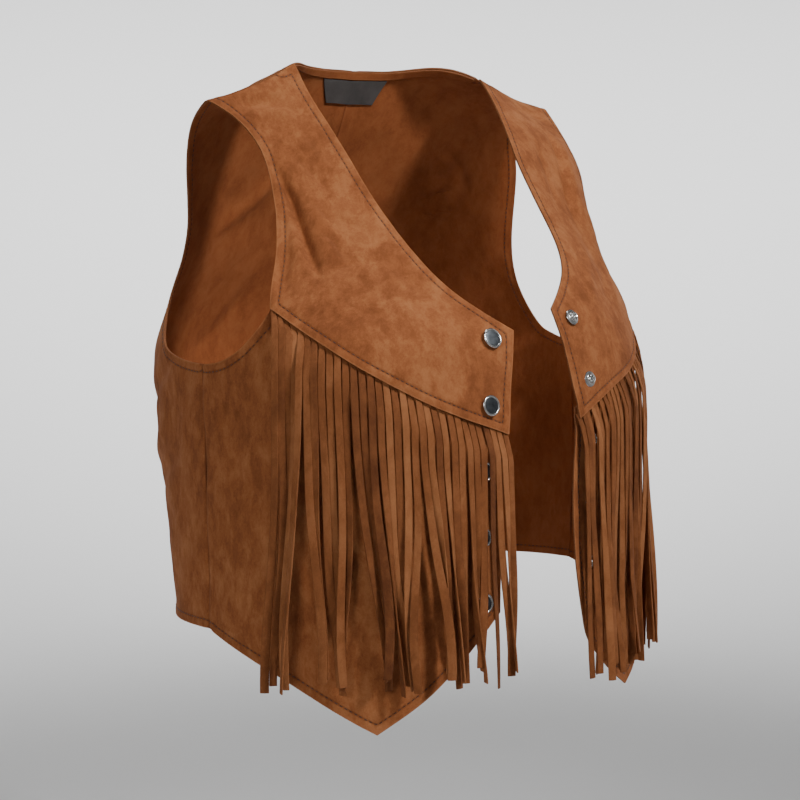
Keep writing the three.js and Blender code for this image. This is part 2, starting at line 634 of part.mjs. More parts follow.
// One strand, hanging from two corners of the strip; it never falls back towards the panel
function strandCells(side, number, turn, from, to) {
  const hang = HANGS[(number * 3) % HANGS.length];
  const root = from.inner.clone().add(to.inner).multiplyScalar(0.5);
  const wide = from.inner.distanceTo(to.inner);
  const below = -root.z;
  const end = side.strandEnd - hang.short;
  const away = outward(side, FRONT, turn, 300).setZ(0).normalize();
  const cells = [];
  let upper = [from, to];
  let reach = 0;
  for (const share of STRAND_STATIONS) {
    const down = mix(below, end, share);
    const settle = smooth((down - below) / SETTLE);
    const middle = place(side, FRONT, turn, down);
    const along = place(side, FRONT, turn + 0.5, down).point.sub(middle.point).setZ(0).normalize();
    const lift = CLOTH + PLY_GAP + STRAND_CLEAR + (CLEAR_OF_SNAPS + hang.stand) * settle;
    const centre = moved(middle, lift + STRIP / 2);
    reach = Math.max(reach, centre.dot(away));
    centre.addScaledVector(away, reach - centre.dot(away));
    centre.addScaledVector(along, hang.sway * share);
    const twist = hang.twist * share * degrees;
    const across = along.clone().multiplyScalar(Math.cos(twist)).addScaledVector(away, Math.sin(twist));
    const thick = away.clone().multiplyScalar(Math.cos(twist)).addScaledVector(along, -Math.sin(twist));
    const lower = [-1, 1].map((hand) => {
      const edge = centre.clone().addScaledVector(across, (hand * wide) / 2);
      return {
        inner: edge.clone().addScaledVector(thick, -STRIP / 2),
        outer: edge.clone().addScaledVector(thick, STRIP / 2),
      };
    });
    cells.push([upper[0], upper[1], lower[1], lower[0]]);
    upper = lower;
  }
  return cells;
}

for (const side of [RIGHT, LEFT]) {
  vest.add(wallMesh(fringeCells(side), `fringe_${side.name}`, suedeStrip));
}

// A solid turned about an axis, seated at base; the profile is radius and height up the axis
function turned(profile, sides, base, axis, name, material) {
  const outline = profile.map(({ radius, high }) => new THREE.Vector2(radius, high));
  if (profile[0].radius > 0) outline.push(outline[0].clone());
  const mesh = new THREE.Mesh(new THREE.LatheGeometry(outline, sides), material);
  mesh.quaternion.setFromUnitVectors(vector(0, 1, 0), axis);
  mesh.position.copy(base);
  mesh.name = name;
  return mesh;
}

const CAP = [
  { radius: 0, high: 0 }, { radius: 6.3, high: 0 }, { radius: 6.9, high: 0.9 }, { radius: 6.4, high: 1.9 },
  { radius: 5.6, high: 1.9 }, { radius: 5.2, high: 1.6 }, { radius: 0, high: 1.7 },
];
const SOCKET = [
  { radius: 2.2, high: 0 }, { radius: 5.2, high: 0 }, { radius: 5.4, high: 0.7 },
  { radius: 3.6, high: 1.7 }, { radius: 2.2, high: 1.7 },
];
const STUD = [
  { radius: 0, high: 0 }, { radius: 5.3, high: 0 }, { radius: 5.5, high: 0.6 }, { radius: 3.2, high: 1.0 },
  { radius: 3.0, high: 3.0 }, { radius: 2.0, high: 3.2 }, { radius: 1.6, high: 1.6 }, { radius: 0, high: 1.5 },
];
const STUD_BACK = [
  { radius: 2.0, high: 0 }, { radius: 5.2, high: 0 }, { radius: 5.0, high: 0.9 }, { radius: 2.0, high: 1.0 },
];
const SNAP_SEAT = 7.2;
const SNAP_SIDES = 14;
const BACK_SIDES = 12;

// The seat of a snap on the flat facets of a front: its middle, and the axis square to them
function snapSpot(side, number) {
  const level = side.snapTop + SNAP_PITCH * number;
  const rows = panels[side.name][level < side.yokeEdge[0].below ? "yoke" : "front"];
  let column = 1;
  let row = 0;
  for (let pass = 0; pass < 6; pass += 1) {
    row = 0;
    while (row < rows.length - 1.02 && -between(rows, column, row).point.z < level) row += 0.01;
    const edge = between(rows, 0, row).point;
    column = 0.1;
    while (between(rows, column, row).point.distanceTo(edge) < SNAP_INSET) column += 0.01;
  }
  const middle = between(rows, column, row);
  const wide = between(rows, column + 0.5, row).point.distanceTo(between(rows, column - 0.5, row).point);
  const tall = between(rows, column, row + 0.25).point.distanceTo(between(rows, column, row - 0.25).point) * 2;
  const ringOf = (radius) => Array.from({ length: 16 }, (_, k) => {
    const angle = (2 * Math.PI * k) / 16;
    const c = column + (radius * Math.cos(angle)) / wide;
    return between(rows, c, row + (radius * Math.sin(angle)) / tall).point;
  });
  const rim = ringOf(SNAP_SEAT);
  const axis = rim.reduce((sum, point, k) => {
    const next = rim[(k + 1) % rim.length].clone().sub(middle.point);
    return sum.add(point.clone().sub(middle.point).cross(next));
  }, vector(0, 0, 0)).normalize();
  if (axis.dot(middle.normal) < 0) axis.negate();
  const heights = [SNAP_SEAT, SNAP_SEAT / 2].flatMap(ringOf).map((point) => point.sub(middle.point).dot(axis));
  return { middle: middle.point, axis, high: Math.max(0, ...heights), low: Math.min(0, ...heights) };
}

for (let number = 0; number < SNAPS; number += 1) {
  const kinds = [
    { side: RIGHT, face: "snap_cap", back: "snap_socket", profile: CAP, behind: SOCKET, look: darkSteel },
    { side: LEFT, face: "snap_stud", back: "stud_back", profile: STUD, behind: STUD_BACK, look: steel },
  ];
  for (const kind of kinds) {
    const spot = snapSpot(kind.side, number);
    const above = spot.middle.clone().addScaledVector(spot.axis, CLOTH + PLY_GAP + spot.high);
    const under = spot.middle.clone().addScaledVector(spot.axis, spot.low - PLY_GAP);
    const inward = spot.axis.clone().negate();
    vest.add(turned(kind.profile, SNAP_SIDES, above, spot.axis, `${kind.face}_${number + 1}`, kind.look));
    vest.add(turned(kind.behind, BACK_SIDES, under, inward, `${kind.back}_${number + 1}`, steel));
  }
}

export default vest;
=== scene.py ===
"""Fringe vest in brushed suede: the dressed panels, fringe, stitching, snaps and studio"""

import math

import bmesh
import bpy
import numpy as np
from mathutils import Matrix, Vector, noise
from mathutils.kdtree import KDTree


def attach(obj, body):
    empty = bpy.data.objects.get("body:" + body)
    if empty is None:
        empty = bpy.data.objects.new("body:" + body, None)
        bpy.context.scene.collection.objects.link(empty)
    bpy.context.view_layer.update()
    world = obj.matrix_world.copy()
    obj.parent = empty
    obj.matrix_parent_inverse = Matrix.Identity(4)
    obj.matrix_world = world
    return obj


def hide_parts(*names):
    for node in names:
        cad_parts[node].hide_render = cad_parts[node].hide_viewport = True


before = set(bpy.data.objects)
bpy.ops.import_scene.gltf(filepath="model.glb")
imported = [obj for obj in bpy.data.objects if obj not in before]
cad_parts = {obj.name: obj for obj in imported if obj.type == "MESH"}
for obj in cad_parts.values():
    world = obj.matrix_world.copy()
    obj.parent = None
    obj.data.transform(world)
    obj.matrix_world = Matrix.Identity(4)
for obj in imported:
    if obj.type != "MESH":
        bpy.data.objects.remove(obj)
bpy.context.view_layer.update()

MM = 0.001
TINY = 1e-12

# The gap to an edge or a seam where there is none, in metres
FAR = 1.0

# Forms made from the solids: places this near are one, faces that bend more than HARD_ANGLE meet in
# a hard edge, and triangles are joined to quads no further than QUAD_ANGLE out of square
SAME_PLACE = 1e-6
HARD_ANGLE = math.radians(42)
QUAD_ANGLE = math.radians(80)

# The outside of the cloth faces away from here, and three of the lamps aim at it
BODY_MIDDLE = Vector((0, 0, -0.2))

# Marks for the faces of a cloth by side, and how many times its faces are divided
OUTER, INNER, EDGE = 0, 1, 2
PANEL_CUTS = 3

# Topstitching. A stitch shorter than STITCH_LEAST or a row with fewer places than ROW_LEAST is left out
ROW_FROM_EDGE = 5.6 * MM
STITCH_PITCH = 3.5 * MM
STITCH_LONG = 2.5 * MM
STITCH_LEAST = 1.25 * MM
STITCH_WIDE = 0.62 * MM
STITCH_LIFT = 0.042 * MM
ROW_LEAST = 7

# Factors on the width and the depth of every crease, and the steps of its line. A crease rises and
# falls in its first and last part, each its whole length divided by CREASE_ENDS
CREASE_WIDTH = 0.75
CREASE_DEPTH = 1.5
CREASE_STEP = 4 * MM
CREASE_ENDS = 3.2

# Creases of each panel, in millimetres: a line of places, how wide and how deep. A trough is below 0
CREASES = {
    "yoke_right": [
        {"line": [(-138, -26, -58), (-133, -33, -72), (-129, -39, -84), (-128, -47, -98), (-129, -55, -112),
                  (-131, -68, -131), (-136, -88, -156)],
         "wide": 5, "deep": -3.6},
        {"line": [(-117, -42, -86), (-116, -54, -104), (-118, -68, -124), (-122, -82, -145)],
         "wide": 8, "deep": 1.5},
        {"line": [(-138, -40, -95), (-139, -50, -112), (-143, -62, -135)], "wide": 7, "deep": 1.4},
        {"line": [(-137, -42, -98), (-138, -51, -114), (-143, -59, -131), (-150, -63, -144),
                  (-158, -70, -164)],
         "wide": 5, "deep": -2.4},
        {"line": [(-145, -6, -32), (-125, -9, -28), (-104, -13, -25)], "wide": 5, "deep": -2.2},
        {"line": [(-140, -28, -70), (-137, -35, -84), (-138, -45, -104)], "wide": 4, "deep": -1.2},
        {"line": [(-123, -62, -112), (-115, -72, -122), (-110, -84, -140)], "wide": 4, "deep": -1.1},
        {"line": [(-110, -60, -104), (-98, -72, -112), (-84, -80, -116)], "wide": 3, "deep": -0.9},
        {"line": [(-143, -14, -37), (-123, -19, -34), (-103, -22, -31)], "wide": 6, "deep": 1.2},
        {"line": [(-126, -10, -30), (-101, -20, -34)], "wide": 4, "deep": -0.8},
        {"line": [(-128, -79, -141), (-117, -83, -138), (-96, -89, -135), (-76, -93, -132)],
         "wide": 3, "deep": -1.1},
        {"line": [(-119, -31, -61), (-112, -39, -71), (-106, -47, -82), (-98, -53, -88)],
         "wide": 4, "deep": -0.8},
        {"line": [(-122, -46, -92), (-112, -59, -105), (-106, -73, -121)], "wide": 4, "deep": -0.7},
        {"line": [(-112, -26, -48), (-103, -38, -64), (-93, -50, -80)], "wide": 5, "deep": 0.7},
        {"line": [(-90, -88, -128), (-80, -104, -148), (-66, -120, -172)], "wide": 9, "deep": -0.8},
        {"line": [(-120, -100, -160), (-99, -113, -166), (-82, -124, -180)], "wide": 8, "deep": 0.8},
    ],
    "yoke_left": [
        {"line": [(136, -27, -38), (135, -43, -57), (126, -65, -88), (119, -83, -115)],
         "wide": 8, "deep": 1.6},
        {"line": [(128, -30, -38), (126, -48, -62), (116, -68, -92), (110, -85, -118)],
         "wide": 6, "deep": -1.6},
        {"line": [(101, -44, -47), (97, -63, -74), (89, -85, -104)], "wide": 6, "deep": -1.0},
        {"line": [(145, -8, -36), (124, -11, -31), (106, -13, -26)], "wide": 5, "deep": -1.2},
        {"line": [(112, -88, -122), (88, -110, -148), (70, -126, -172)], "wide": 9, "deep": 0.9},
        {"line": [(130, -88, -140), (112, -100, -152), (92, -114, -172)], "wide": 7, "deep": -0.8},
    ],
    "front_right": [
        {"line": [(-145, -66, -150), (-152, -64, -180), (-158, -66, -215)], "wide": 8, "deep": -2.2},
        {"line": [(-178, -36, -224), (-177, -46, -248), (-177, -51, -286)], "wide": 9, "deep": -0.9},
        {"line": [(-165, -84, -300), (-156, -102, -345), (-146, -118, -385)], "wide": 12, "deep": 1.2},
        {"line": [(-150, -100, -330), (-130, -124, -380), (-112, -140, -415)], "wide": 10, "deep": -1.0},
        {"line": [(-90, -150, -240), (-96, -152, -300), (-98, -154, -360)], "wide": 12, "deep": -1.0},
        {"line": [(-60, -158, -250), (-64, -158, -330), (-72, -158, -400)], "wide": 10, "deep": 0.8},
    ],
    "front_left": [
        {"line": [(150, -62, -160), (156, -62, -190), (160, -64, -230)], "wide": 8, "deep": -1.6},
        {"line": [(176, -36, -226), (177, -44, -256), (176, -52, -300)], "wide": 9, "deep": -1.2},
        {"line": [(150, -98, -330), (132, -120, -380), (114, -134, -415)], "wide": 10, "deep": -1.0},
        {"line": [(96, -146, -240), (98, -148, -300), (98, -150, -360)], "wide": 12, "deep": 0.9},
    ],
    "back_right": [
        {"line": [(-178, 10, -196), (-172, 40, -212), (-158, 70, -232), (-138, 92, -258)],
         "wide": 8, "deep": -1.4},
        {"line": [(-177, 20, -236), (-166, 54, -258), (-146, 84, -284), (-112, 102, -300)],
         "wide": 9, "deep": 1.1},
        {"line": [(-178, 4, -262), (-172, 38, -276), (-156, 70, -300)], "wide": 6, "deep": -1.0},
        {"line": [(-40, 84, -60), (-70, 92, -90), (-110, 88, -120)], "wide": 8, "deep": -1.9},
        {"line": [(-30, 110, -150), (-60, 112, -190), (-100, 108, -220)], "wide": 11, "deep": 1.8},
        {"line": [(-20, 116, -240), (-56, 112, -286), (-66, 104, -350)], "wide": 11, "deep": -2.2},
        {"line": [(-120, 96, -300), (-124, 88, -350), (-126, 84, -378)], "wide": 9, "deep": 1.9},
    ],
    "back_left": [
        {"line": [(178, 10, -200), (172, 42, -214), (158, 70, -236), (136, 94, -262)],
         "wide": 8, "deep": -2.7},
        {"line": [(177, 20, -240), (166, 54, -262), (144, 84, -290), (110, 102, -310)],
         "wide": 9, "deep": 2.1},
        {"line": [(88, 70, -98), (92, 68, -95), (108, 62, -88), (127, 56, -84)], "wide": 4, "deep": 2.9},
        {"line": [(92, 74, -106), (110, 68, -100), (130, 60, -98)], "wide": 4, "deep": -2.9},
        {"line": [(98, 51, -51), (122, 53, -67), (134, 53, -91)], "wide": 6, "deep": -2.2},
        {"line": [(36, 96, -80), (66, 98, -118), (104, 90, -150)], "wide": 10, "deep": 1.9},
        {"line": [(26, 114, -230), (58, 112, -280), (70, 104, -350)], "wide": 11, "deep": -2.1},
    ],
}


def straight(a, b, share):
    return a + (b - a) * share


def eased(value):
    """From 0 to 1 with a soft start and end, for one value or for many"""
    value = np.clip(value, 0, 1)
    return value * value * (3 - 2 * value)


def bell(far, at, wide):
    """1 where a distance is this one, falling softly to 0 on both sides of it"""
    return np.exp(-(((far - at) / wide) ** 2))


def way_to(point, start, end):
    """The way from a point to the nearest place on the line between two others"""
    along = end - start
    share = np.dot(point - start, along) / max(TINY, np.dot(along, along))
    return start + along * min(1.0, max(0.0, share)) - point


def mesh_of(form, name):
    """A mesh from a form, which is given up"""
    mesh = bpy.data.meshes.new(name)
    form.to_mesh(mesh)
    form.free()
    return mesh


def placed(name, data):
    """A new object in the scene"""
    made = bpy.data.objects.new(name, data)
    bpy.context.scene.collection.objects.link(made)
    return made


def tree_of(points):
    tree = KDTree(len(points))
    for k, point in enumerate(points):
        tree.insert(point, k)
    tree.balance()
    return tree


# Finishes

# Beside a row of stitches, a cut rim and a seam: the full effect up to the first distance, none from the
# second on. Beside the row and the seam the effect is painted shade in the suede's colour, and the row also
# sinks the bump; at the rim it is a lighter worn tone
ROW_BAND = (0.2 * MM, 1.5 * MM)
RIM_BAND = (0.1 * MM, 1.3 * MM)
SEAM_SHADE_BAND = (0.2 * MM, 1.2 * MM)


class Signal:
    """A node's output, which is added, subtracted and multiplied like a number"""

    def __init__(self, finish, socket):
        self.finish = finish
        self.socket = socket

    def worked(self, operation, left, right):
        return self.finish.node("ShaderNodeMath", {"operation": operation}, {0: left, 1: right})

    def __add__(self, other):
        return self.worked("ADD", self, other)

    def __radd__(self, other):
        return self.worked("ADD", other, self)

    def __sub__(self, other):
        return self.worked("SUBTRACT", self, other)

    def __rsub__(self, other):
        return self.worked("SUBTRACT", other, self)

    def __mul__(self, other):
        return self.worked("MULTIPLY", self, other)

    def __rmul__(self, other):
        return self.worked("MULTIPLY", other, self)

    def __abs__(self):
        return self.worked("ABSOLUTE", self, 0.0)


class Finish:
    """A material and its nodes"""

    def __init__(self, name):
        self.material = bpy.data.materials.new(name)
        self.material.use_nodes = True
        self.tree = self.material.node_tree
        self.surface = self.tree.nodes["Principled BSDF"]
        self.place = self.node("ShaderNodeTexCoord", {}, {}, "Object")

    def node(self, kind, settings, sockets, output=0):
        made = self.tree.nodes.new(kind)
        for key, value in settings.items():
            if key == "stops":
                for element, (at, tone) in zip(self.stops(made, len(value)), value):
                    element.position = at
                    element.color = full(tone)
            else:
                setattr(made, key, value)
        for key, value in sockets.items():
            if isinstance(value, Signal):
                self.tree.links.new(value.socket, made.inputs[key])
            else:
                made.inputs[key].default_value = value
        return Signal(self, made.outputs[output])

    def stops(self, ramp, count):
        while len(ramp.color_ramp.elements) < count:
            ramp.color_ramp.elements.new(1.0)
        return ramp.color_ramp.elements

    def noise(self, scale, detail, rough, twist=0.0, place=None):
        sockets = {"Vector": place or self.place, "Scale": scale, "Detail": detail,
                   "Roughness": rough, "Distortion": twist}
        return self.node("ShaderNodeTexNoise", {}, sockets)

    def stretched(self, scale, turn=(0.0, 0.0, 0.0)):
        sockets = {"Vector": self.place, "Scale": scale, "Rotation": turn}
        return self.node("ShaderNodeMapping", {}, sockets)

    def ramp(self, value, stops):
        return self.node("ShaderNodeValToRGB", {"stops": stops}, {"Fac": value})

    def between(self, value, low, high, start=0.0, end=1.0):
        sockets = {"Value": value, 1: low, 2: high, 3: start, 4: end}
        return self.node("ShaderNodeMapRange", {"interpolation_type": "SMOOTHSTEP"}, sockets)

    def beside(self, gap, band):
        return self.between(gap, *band, 1.0, 0.0)

    def blended(self, share, first, second):
        sockets = {0: share, 6: first, 7: second}
        return self.node("ShaderNodeMix", {"data_type": "RGBA"}, sockets, 2)

    def kept(self, name):
        settings = {"attribute_name": name, "attribute_type": "GEOMETRY"}
        return self.node("ShaderNodeAttribute", settings, {}, "Fac")

    def bump(self, height, strength, deep):
        sockets = {"Height": height, "Strength": strength, "Distance": deep}
        return self.node("ShaderNodeBump", {}, sockets, "Normal")

    def finish(self, fixed, varied):
        for key, value in fixed.items():
            self.surface.inputs[key].default_value = value
        for key, signal in varied.items():
            self.tree.links.new(signal.socket, self.surface.inputs[key])
        return self.material


def colour(red, green, blue):
    """A colour in linear light from the values of a picture, 0 to 255"""
    shares = [value / 255 for value in (red, green, blue)]
    return tuple(((share + 0.055) / 1.055) ** 2.4 if share > 0.04 else share / 12.92 for share in shares)


def full(colour_values):
    return (*colour_values, 1.0)


def suede(name, tones, mottle, nap_bump, hemmed=True):
    """Brushed suede: blotches, brush marks where the nap lies another way, and a fine fuzzy grain. When
    hemmed, it also gets painted shade along its stitch rows and seams and a lighter worn tone at its cut
    rims
    """
    dark, middle, light = tones
    usual_tone = 0.64
    made = Finish(name)
    brushed = made.stretched((1.0, 1.0, 0.6), (0.35, 0.5, 0.6))
    stroked = made.stretched((1.0, 1.6, 0.7), (0.2, -0.4, 0.7))
    blotch = made.noise(11, detail=3, rough=0.5, twist=0.2)
    brush = made.noise(44, detail=9, rough=0.68, twist=0.25, place=brushed)
    strokes = made.noise(95, detail=7, rough=0.72, twist=0.3, place=stroked)
    nap = made.noise(700, detail=5, rough=0.75)
    grain = made.noise(2400, detail=2, rough=0.6)
    lie = made.between(brush, 0.4, 0.6)
    patch = made.between(blotch, 0.36, 0.64)
    scuff = made.between(strokes, 0.38, 0.62)
    marks = lie * 0.24 + patch * 0.12 + scuff * 0.22 + nap * 0.4 + grain * 0.3
    tone = (marks - usual_tone) * mottle + 0.5
    if not hemmed:
        tone = tone + made.kept("strand_tone") * 0.4
    base = made.ramp(tone, [(0.1, dark), (0.5, middle), (0.92, light)])
    rough = 0.98 - lie * 0.07 - nap * 0.05
    height = nap * 0.5 + grain * 0.25 + scuff * 0.35 + lie * 0.2
    if hemmed:
        gap = made.kept("edge_gap")
        row = made.beside(abs(gap - ROW_FROM_EDGE), ROW_BAND)
        rim = made.beside(gap, RIM_BAND)
        seam = made.beside(made.kept("seam_gap"), SEAM_SHADE_BAND)
        # Painted shade in the groove of each stitch row: the colour goes towards the dark tone there
        painted_row_shade = made.blended(row * 0.4, base, full(dark))
        worn = made.blended(rim * 0.35, painted_row_shade, full(light))
        # Painted shade along the seams, where two panels meet: the colour goes towards the dark tone there
        base = made.blended(seam * 0.6, worn, full(dark))
        height = height - row * 0.9
    fixed = {"Sheen Weight": 0.12, "Sheen Roughness": 0.5, "Sheen Tint": full(colour(206, 150, 108)),
             "Specular IOR Level": 0.18}
    varied = {"Base Color": base, "Roughness": rough, "Normal": made.bump(height, nap_bump, 0.35 * MM)}
    return made.finish(fixed, varied)


def cut_edge():
    """The raw cut edge of the suede"""
    made = Finish("cut_edge")
    fibres = made.noise(1400, detail=4, rough=0.7)
    base = made.ramp(fibres, [(0.3, colour(104, 60, 36)), (0.7, colour(160, 104, 68))])
    return made.finish({"Specular IOR Level": 0.2}, {"Base Color": base, "Roughness": 0.9 + fibres * 0.08,
                                                     "Normal": made.bump(fibres, 0.5, 0.3 * MM)})


def sewing_thread():
    """Twisted polyester thread"""
    made = Finish("sewing_thread")
    ply = made.node("ShaderNodeTexWave", {"bands_direction": "DIAGONAL"},
                    {"Vector": made.place, "Scale": 900.0, "Distortion": 1.5})
    base = made.ramp(ply, [(0.2, colour(34, 17, 10)), (0.8, colour(66, 35, 20))])
    return made.finish({"Sheen Weight": 0.1}, {"Base Color": base, "Roughness": 0.5 + ply * 0.2,
                                               "Normal": made.bump(ply, 0.4, 0.1 * MM)})


def satin_ribbon():
    """Dark satin ribbon, its weave fine and lengthwise"""
    made = Finish("satin_ribbon")
    weft = made.node("ShaderNodeTexWave", {"bands_direction": "Z", "wave_profile": "SIN"},
                     {"Vector": made.place, "Scale": 1100.0, "Distortion": 0.6, "Detail": 2.0})
    cloud = made.noise(60, detail=4, rough=0.6)
    base = made.ramp(cloud * 0.7 + weft * 0.3, [(0.25, colour(46, 43, 42)), (0.75, colour(82, 77, 75))])
    return made.finish({"Sheen Weight": 0.2}, {"Base Color": base, "Roughness": 0.42 + weft * 0.16,
                                               "Normal": made.bump(weft, 0.25, 0.1 * MM)})


def plated(name, dark, light, rough):
    """Plated metal with faint brushing and handling marks"""
    made = Finish(name)
    lengthwise = made.stretched((1.0, 1.0, 6.0), (0.0, 0.6, 0.4))
    brushing = made.noise(700, detail=4, rough=0.6, place=lengthwise)
    cloud = made.noise(220, detail=3, rough=0.5)
    base = made.ramp(cloud * 0.6 + brushing * 0.4, [(0.3, dark), (0.7, light)])
    return made.finish({"Metallic": 1.0}, {"Base Color": base, "Roughness": rough + brushing * 0.14,
                                           "Normal": made.bump(brushing, 0.12, 0.1 * MM)})


# Tones of the suede, each from dark over middle to light
OUTSIDE_TONES = [colour(104, 55, 30), colour(150, 89, 52), colour(184, 122, 78)]
INSIDE_TONES = [colour(120, 63, 34), colour(152, 87, 49), colour(170, 105, 64)]
STRAND_TONES = [colour(80, 42, 23), colour(131, 78, 45), colour(168, 110, 70)]
OUTSIDE = suede("suede_outside", OUTSIDE_TONES, mottle=0.85, nap_bump=0.5)
INSIDE = suede("suede_inside", INSIDE_TONES, mottle=0.75, nap_bump=0.45)
STRANDS = suede("suede_strands", STRAND_TONES, mottle=0.6, nap_bump=0.5, hemmed=False)
RAW = cut_edge()
THREAD = sewing_thread()
SATIN = satin_ribbon()
NICKEL = plated("nickel", colour(176, 176, 174), colour(226, 226, 224), rough=0.16)
GUNMETAL = plated("gunmetal", colour(56, 59, 62), colour(96, 100, 104), rough=0.34)


# Cloth panels


def piece(name, mesh, materials, stands_for=()):
    """Adds a finished mesh to the scene as a piece of the vest"""
    made = placed(name, mesh)
    sides = [face.material_index for face in mesh.polygons]
    mesh.materials.clear()
    for material in materials:
        mesh.materials.append(material)
    mesh.polygons.foreach_set("material_index", sides)
    for face in mesh.polygons:
        face.use_smooth = True
    mesh.set_sharp_from_angle(angle=HARD_ANGLE)
    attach(made, "root")
    if stands_for:
        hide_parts(*stands_for)
    return made


def joined_form(node):
    """A form from a node's solid, with most of its triangles joined in pairs"""
    form = bmesh.new()
    form.from_mesh(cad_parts[node].data)
    bmesh.ops.remove_doubles(form, verts=form.verts, dist=SAME_PLACE)
    bmesh.ops.join_triangles(form, faces=form.faces, angle_face_threshold=HARD_ANGLE,
                             angle_shape_threshold=QUAD_ANGLE)
    return form


def smooth_regions(form, hard):
    """The runs of faces with no hard edge between them, the largest first"""
    regions = []
    left = set(form.faces)
    while left:
        start = left.pop()
        region, queue = [start], [start]
        while queue:
            for edge in queue.pop().edges:
                for other in edge.link_faces:
                    if edge not in hard and other in left:
                        left.remove(other)
                        region.append(other)
                        queue.append(other)
        regions.append(region)
    return sorted(regions, key=lambda faces: -sum(face.calc_area() for face in faces))


def smoothed_copy(node):
    """A finer copy of a panel, its faces marked as outer, inner or edge"""
    form = joined_form(node)
    crease = form.edges.layers.float.new("crease_edge")
    hard = set()
    for edge in form.edges:
        if len(edge.link_faces) == 2 and edge.calc_face_angle(0) > HARD_ANGLE:
            edge[crease] = 1.0
            hard.add(edge)
    for face in form.faces:
        face.material_index = EDGE
    for region in smooth_regions(form, hard)[:2]:
        facing_out = sum(face.calc_area() * face.normal.dot(face.calc_center_median() - BODY_MIDDLE)
                         for face in region)
        for face in region:
            face.material_index = OUTER if facing_out > 0 else INNER
    holder = placed(node + "_form", mesh_of(form, node + "_form"))
    finer = holder.modifiers.new("finer", "SUBSURF")
    finer.levels = finer.render_levels = PANEL_CUTS
    graph = bpy.context.evaluated_depsgraph_get()
    made = bpy.data.meshes.new_from_object(holder.evaluated_get(graph))
    bpy.data.objects.remove(holder)
    made.attributes.remove(made.attributes["custom_normal"])
    return made


class Panel:
    """A dressed panel: its finer mesh, the way out at each point and the lines round it"""

    def __init__(self, node):
        self.mesh = smoothed_copy(node)
        self.points = np.empty(len(self.mesh.vertices) * 3)
        self.mesh.vertices.foreach_get("co", self.points)
        self.points = self.points.reshape(-1, 3)
        self.ways = self.find_ways()
        self.rim, self.links = self.find_rim()

    def find_ways(self):
        ways = np.zeros_like(self.points)
        for face in self.mesh.polygons:
            if face.material_index != EDGE:
                way = np.array(face.normal) * (1 if face.material_index == OUTER else -1) * face.area
                for corner in face.vertices:
                    ways[corner] += way
        sizes = np.linalg.norm(ways, axis=1)
        known = np.nonzero(sizes > TINY)[0]
        tree = tree_of(self.points[known])
        for corner in np.nonzero(sizes <= TINY)[0]:
            nearest = known[tree.find(self.points[corner])[1]]
            ways[corner] = ways[nearest]
            sizes[corner] = sizes[nearest]
        return ways / sizes[:, None]

    def find_rim(self):
        kinds = {}
        for face in self.mesh.polygons:
            for key in face.edge_keys:
                kinds.setdefault(key, set()).add(face.material_index)
        rim = {}
        for (a, b), kind in kinds.items():
            if EDGE in kind and len(kind) > 1:
                rim.setdefault(a, []).append(b)
                rim.setdefault(b, []).append(a)
        return sorted(rim), rim

    def gaps(self, marks):
        """How far each point is from the nearest of these points of the rim and the lines between them"""
        marks = sorted(marks)
        if not marks:
            return np.full(len(self.points), FAR)
        chosen = set(marks)
        tree = tree_of(self.points[marks])
        found = np.empty(len(self.points))
        for k, point in enumerate(self.points):
            mark = marks[tree.find(point)[1]]
            at = self.points[mark]
            best = np.linalg.norm(point - at)
            for other in self.links[mark]:
                if other in chosen:
                    best = min(best, np.linalg.norm(way_to(point, at, self.points[other])))
            found[k] = best
        return found

    def push(self, heights):
        self.points = self.points + self.ways * heights[:, None]

    def store(self):
        self.mesh.vertices.foreach_set("co", self.points.ravel())
        self.mesh.update()

    def keep(self, name, values):
        """Stores a value for each point, for the finishes to read"""
        self.mesh.attributes.new(name, "FLOAT", "POINT").data.foreach_set("value", values)


def laid_on(panel, line):
    """A line of places with more places between them, each brought onto the cloth"""
    tree = tree_of(panel.points)
    laid = []
    for a, b in zip(line, line[1:]):
        count = max(1, round(np.linalg.norm(b - a) / CREASE_STEP))
        laid += [straight(a, b, k / count) for k in range(count)]
    laid.append(line[-1])
    nearest = [tree.find(place)[1] for place in laid]
    return [place + panel.ways[near] * np.dot(panel.points[near] - place, panel.ways[near])
            for place, near in zip(laid, nearest)]


def crease_heights(panel, crease):
    """A soft trough or ridge along a line: deepest in the middle of its length, gone at its ends"""
    points = panel.points
    line = laid_on(panel, [np.array(at) * MM for at in crease["line"]])
    lengths = [np.linalg.norm(b - a) for a, b in zip(line, line[1:])]
    total = sum(lengths)
    nearest = np.full(len(points), np.inf)
    shares = np.zeros(len(points))
    before = 0.0
    for a, b, long in zip(line, line[1:], lengths):
        held = np.clip((points - a) @ (b - a) / long ** 2, 0, 1)
        far = np.linalg.norm(points - a - held[:, None] * (b - a), axis=1)
        nearer = far < nearest
        nearest = np.where(nearer, far, nearest)
        shares = np.where(nearer, (before + held * long) / total, shares)
        before += long
    fade = eased(np.minimum(shares, 1 - shares) * CREASE_ENDS)
    deep, wide = crease["deep"] * CREASE_DEPTH * MM, crease["wide"] * CREASE_WIDTH * MM
    return deep * fade * bell(nearest, 0, wide)


# How uneven the cloth is between its creases: how fine and how high the waves are, where their
# pattern starts, and the share of them that is left at an edge. The pattern moves on by SEED_STEP
# from panel to panel, by other amounts along each axis
CLOTH_WAVES = [
    {"scale": 24, "high": 1.5 * MM, "start": 0, "at_edge": 0.0},
    {"scale": 65, "high": 0.45 * MM, "start": 3, "at_edge": 0.4},
]
PUCKERS = {"scale": 150, "high": 0.3 * MM, "start": 9}
TRIM_WAVES = {"scale": 90, "high": 0.12 * MM, "start": 5}
SEED_STEP = 7.3
SEED_WAY = (1, 0.7, 1.3)

